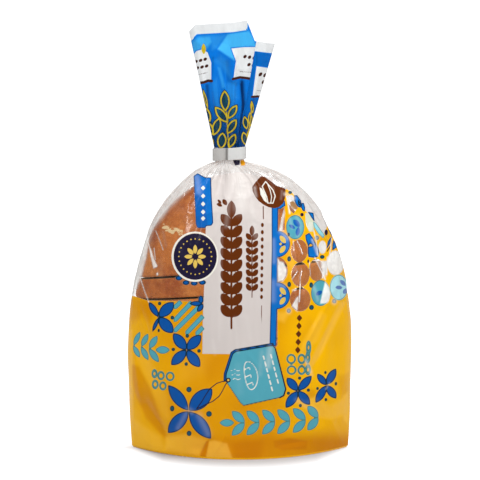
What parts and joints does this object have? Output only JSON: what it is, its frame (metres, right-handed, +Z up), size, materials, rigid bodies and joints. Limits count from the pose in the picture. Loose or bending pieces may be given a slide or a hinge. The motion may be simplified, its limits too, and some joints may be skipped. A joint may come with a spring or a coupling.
{
  "type": "half loaf of sliced bread in a bag",
  "caption": "Half a sliced white loaf standing on its cut end in a printed and clear film bag, gathered above the heel into a flared tail and closed with a plastic band.",
  "frame": {"origin": "middle of the flat bottom that the bag stands on", "axes": "+Z up along the loaf, from its cut end to the bag's tail; +Y from the printed front to the back; +X to the right as seen from the front"},
  "size_m": [0.1188, 0.078, 0.2273],
  "materials": {
    "printed_film": "thin glossy film, printed yellow, blue, teal and white, clear in places",
    "band_plastic": "white satin plastic"
  },
  "bodies": {
    "root": {"bag": "printed_film", "closure_band": "band_plastic"}
  },
  "joints": []
}
